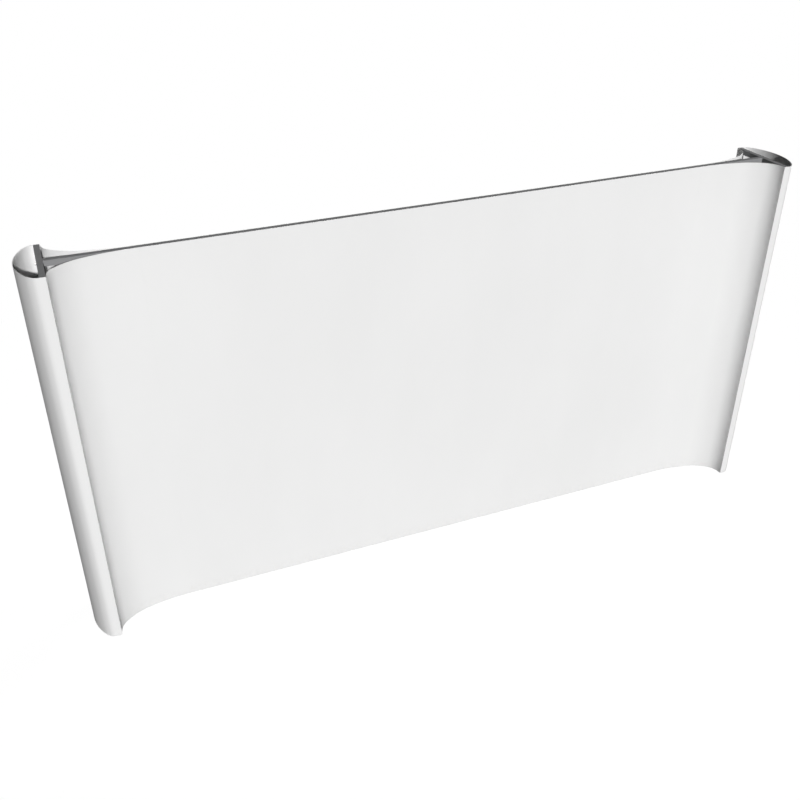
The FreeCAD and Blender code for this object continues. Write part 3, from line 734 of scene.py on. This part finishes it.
# Gives a laid sheet its thickness behind the face that looks outwards
def thicken(bm, outwards):
    bm.faces.ensure_lookup_table()
    bm.normal_update()
    if bm.faces[0].normal.dot(outwards) < 0:
        bmesh.ops.reverse_faces(bm, faces=bm.faces[:])
    bmesh.ops.solidify(bm, geom=bm.faces[:], thickness=SHEET_THICKNESS)
    bmesh.ops.recalc_face_normals(bm, faces=bm.faces[:])


for side, x_sign in sides.items():
    for face, y_sign in faces.items():
        name = f"{face}_{side}_bowed_panel"
        low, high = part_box(name)
        seam_x, end_x = sorted((abs(low.x), abs(high.x)))
        seam_x -= SEAM_CLOSING
        flat_y, end_y = sorted((abs(low.y), abs(high.y)))
        face_y = flat_y + SHEET_THICKNESS
        bend_start = end_x - SHEET_THICKNESS - BEND_REACH
        bend_depth = end_y - END_LAND - face_y
        wide, middle, tight = quarter_radii(BEND_REACH, bend_depth, WIDE_TURN, MIDDLE_TURN, MIDDLE_SHARE)
        turn = x_sign * y_sign
        moves = [
            (None, bend_start - seam_x),
            (wide, turn * WIDE_TURN),
            (middle, turn * MIDDLE_TURN),
            (tight, turn * (90 - WIDE_TURN - MIDDLE_TURN)),
            (None, END_LAND),
        ]
        panel = bmesh.new()
        seam = Vector((x_sign * seam_x, y_sign * face_y, 0))
        lay_sheet(panel, seam, 0 if x_sign > 0 else 180, moves, low.z, high.z)
        thicken(panel, Vector((0, y_sign, 0)))
        ease_rim(panel)
        new_piece(panel, f"{face}_{side}_bowed_sheet", film, "frame", [name])

# End panels: one sheet at each end of the wall, of the same laminate. Its two straight flanges
# lie flat on the outer faces of the posts, and between them it bows out in a smooth oval.
CROWN_TURN = 30
SHOULDER_TURN = 20
SHOULDER_SHARE = 0.4

for side, x_sign in sides.items():
    name = f"{side}_end_panel"
    low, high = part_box(name)
    post_low, post_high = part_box(f"{side}_front_post")
    inner_x, outer_x = sorted((abs(post_low.x), abs(post_high.x)))
    bulge = max(abs(low.x), abs(high.x)) - outer_x
    crown, shoulder, corner = quarter_radii(high.y, bulge, CROWN_TURN, SHOULDER_TURN, SHOULDER_SHARE)
    corner_turn = x_sign * (90 - CROWN_TURN - SHOULDER_TURN)
    moves = [
        (None, outer_x - inner_x),
        (corner, corner_turn),
        (shoulder, x_sign * SHOULDER_TURN),
        (crown, x_sign * 2 * CROWN_TURN),
        (shoulder, x_sign * SHOULDER_TURN),
        (corner, corner_turn),
        (None, outer_x - inner_x),
    ]
    panel = bmesh.new()
    flange = Vector((x_sign * inner_x, low.y, 0))
    lay_sheet(panel, flange, 0 if x_sign > 0 else 180, moves, low.z, high.z)
    thicken(panel, Vector((0, -1, 0)))
    ease_rim(panel)
    new_piece(panel, f"{side}_end_sheet", film, "frame", [name])

# Studio: a wide pale floor that fades to white away from the wall, and a far key light from the
# front, a little to the left. Two low lights behind give no glint. The eye sees the surround as
# white, but it lights the wall only faintly.
FLOOR_RADIUS = 70
FLOOR_SEGMENTS = 96
FLOOR_PALE = (0.14, 0.14, 0.14)
FLOOR_SEEN = (0.34, 0.34, 0.34)
FLOOR_GONE = (0, 0, 0)
FLOOR_VEIL = (0.86, 1.0)
VEIL_REACH = (1.2, 4.5)
VEIL_STRETCH = (0.45, 1, 1)
SURROUND_LIGHT = 0.02
SURROUND_SEEN = 1.0
KEY_STRENGTH = 3.05
KEY_SOFTNESS = 1.5
KEY_HEIGHT = 19.4
KEY_SIDEWAYS = 3
REAR_STRENGTH = 2.0
REAR_SOFTNESS = 5
REAR_SIDEWAYS = -17
END_STRENGTH = 1.4
END_SOFTNESS = 16
END_SIDEWAYS = -58
BEHIND_HEIGHT = 3


# One where the eye, a gloss or a clear thing looks at the surface, and nought for its light
def seen(tree):
    path = tree.nodes.new("ShaderNodeLightPath")
    total = path.outputs["Is Camera Ray"]
    for ray in ("Is Glossy Ray", "Is Transmission Ray"):
        add = tree.nodes.new("ShaderNodeMath")
        add.operation = "MAXIMUM"
        tree.links.new(total, add.inputs[0])
        tree.links.new(path.outputs[ray], add.inputs[1])
        total = add.outputs["Value"]
    return total


def studio_floor():
    material = bpy.data.materials.new("studio_floor")
    material.use_nodes = True
    tree = material.node_tree
    tree.nodes.clear()
    output = tree.nodes.new("ShaderNodeOutputMaterial")
    choice = tree.nodes.new("ShaderNodeMixShader")
    lit = tree.nodes.new("ShaderNodeBsdfDiffuse")
    lit.inputs["Color"].default_value = (*FLOOR_PALE, 1)
    mapping = tree.nodes.new("ShaderNodeMapping")
    mapping.inputs["Scale"].default_value = VEIL_STRETCH
    tree.links.new(own_place(material), mapping.inputs["Vector"])
    reach = tree.nodes.new("ShaderNodeVectorMath")
    reach.operation = "LENGTH"
    tree.links.new(mapping.outputs["Vector"], reach.inputs[0])
    far = remap(material, reach.outputs["Value"], VEIL_REACH, (0, 1))
    shown = tree.nodes.new("ShaderNodeBsdfDiffuse")
    tree.links.new(mixed(material, far, FLOOR_SEEN, FLOOR_GONE), shown.inputs["Color"])
    veil = tree.nodes.new("ShaderNodeEmission")
    tree.links.new(remap(material, far, (0, 1), FLOOR_VEIL), veil.inputs["Strength"])
    both = tree.nodes.new("ShaderNodeAddShader")
    tree.links.new(veil.outputs["Emission"], both.inputs[0])
    tree.links.new(shown.outputs["BSDF"], both.inputs[1])
    tree.links.new(seen(tree), choice.inputs["Fac"])
    tree.links.new(lit.outputs["BSDF"], choice.inputs[1])
    tree.links.new(both.outputs["Shader"], choice.inputs[2])
    tree.links.new(choice.outputs["Shader"], output.inputs["Surface"])
    return material


floor_mesh = bpy.data.meshes.new("studio_floor")
floor_shape = bmesh.new()
bmesh.ops.create_circle(floor_shape, cap_ends=True, segments=FLOOR_SEGMENTS, radius=FLOOR_RADIUS)
floor_shape.to_mesh(floor_mesh)
floor_shape.free()
floor_mesh.materials.append(studio_floor())
floor = bpy.data.objects.new("studio_floor", floor_mesh)
bpy.context.scene.collection.objects.link(floor)


# A far lamp that shines from the front or the rear, down by an angle and from the left by another
def far_lamp(name, strength, softness, height, sideways, y_sign):
    lamp = bpy.data.lights.new(name, "SUN")
    lamp.energy = strength
    lamp.angle = math.radians(softness)
    item = bpy.data.objects.new(name, lamp)
    dip = Matrix.Rotation(math.radians(-height), 3, "X")
    swing = Matrix.Rotation(math.radians(-sideways), 3, "Z")
    direction = swing @ dip @ Vector((0, 1, 0))
    direction.y *= y_sign
    item.rotation_mode = "QUATERNION"
    item.rotation_quaternion = direction.to_track_quat("-Z", "Y")
    bpy.context.scene.collection.objects.link(item)
    return item


far_lamp("key_lamp", KEY_STRENGTH, KEY_SOFTNESS, KEY_HEIGHT, KEY_SIDEWAYS, 1)
rear_lamp = far_lamp("rear_lamp", REAR_STRENGTH, REAR_SOFTNESS, BEHIND_HEIGHT, REAR_SIDEWAYS, -1)
rear_lamp.visible_glossy = False
end_lamp = far_lamp("end_lamp", END_STRENGTH, END_SOFTNESS, BEHIND_HEIGHT, END_SIDEWAYS, -1)
end_lamp.visible_glossy = False

world = bpy.data.worlds.new("studio")
bpy.context.scene.world = world
world.use_nodes = True
sky = world.node_tree
surround = sky.nodes["Background"]
surround.inputs["Color"].default_value = (1, 1, 1, 1)
strength = sky.nodes.new("ShaderNodeMapRange")
strength.inputs["To Min"].default_value = SURROUND_LIGHT
strength.inputs["To Max"].default_value = SURROUND_SEEN
sky.links.new(seen(sky), strength.inputs["Value"])
sky.links.new(strength.outputs["Result"], surround.inputs["Strength"])

# Camera: where the photograph was taken from, to the left of the wall's middle and above it. The
# place in metres, the angles in radians and the lens in millimetres were solved from its edges.
CAMERA_PLACE = Vector((-2.0963, -4.5023, 4.0017))
CAMERA_YAW = 0.3818
CAMERA_PITCH = 0.5462
CAMERA_ROLL = -0.0036
CAMERA_LENS = 42.5

forward = Vector((math.sin(CAMERA_YAW) * math.cos(CAMERA_PITCH),
                  math.cos(CAMERA_YAW) * math.cos(CAMERA_PITCH), -math.sin(CAMERA_PITCH)))
level = Vector((math.cos(CAMERA_YAW), -math.sin(CAMERA_YAW), 0))
rise = level.cross(forward)
right = level * math.cos(CAMERA_ROLL) + rise * math.sin(CAMERA_ROLL)
up = rise * math.cos(CAMERA_ROLL) - level * math.sin(CAMERA_ROLL)
lens = bpy.data.cameras.new("camera")
lens.lens = CAMERA_LENS
camera = bpy.data.objects.new("camera", lens)
turn = Matrix((right, up, -forward)).transposed().to_4x4()
camera.matrix_world = Matrix.Translation(CAMERA_PLACE) @ turn
bpy.context.scene.collection.objects.link(camera)
bpy.context.scene.camera = camera
bpy.context.scene.view_settings.view_transform = "Standard"
